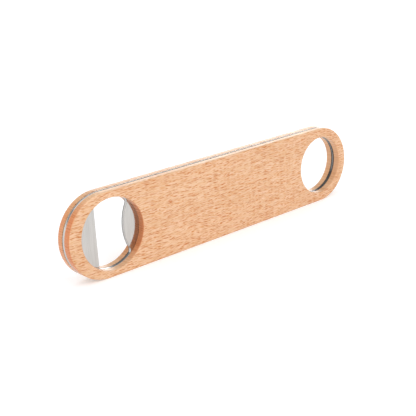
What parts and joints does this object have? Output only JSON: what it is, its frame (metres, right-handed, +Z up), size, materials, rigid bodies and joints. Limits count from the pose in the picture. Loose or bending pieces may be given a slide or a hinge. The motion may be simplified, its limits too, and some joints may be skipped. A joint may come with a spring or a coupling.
{
  "type": "souvenir bottle opener",
  "caption": "Flat bar-blade bottle opener: a stainless blade between two beech scales, with a round cap hole, a hook edge and lifting tongue, and a hanging hole.",
  "frame": {"origin": "centre of the long bottom edge that it stands on", "axes": "+X along the length towards the hanging hole, +Y through the thickness from the front scale to the rear scale, +Z up across the width"},
  "size_m": [0.182, 0.0088, 0.04],
  "materials": {
    "beech": "oiled beech, grain along the length, fine dark ray flecks, satin",
    "glue": "cured adhesive, a fine dark line between wood and steel",
    "stainless_steel": "brushed across the width, semi-bright"
  },
  "bodies": {
    "root": {"front_scale": "beech", "front_glue_film": "glue", "steel_blade": "stainless_steel", "rear_glue_film": "glue", "rear_scale": "beech"}
  },
  "joints": []
}
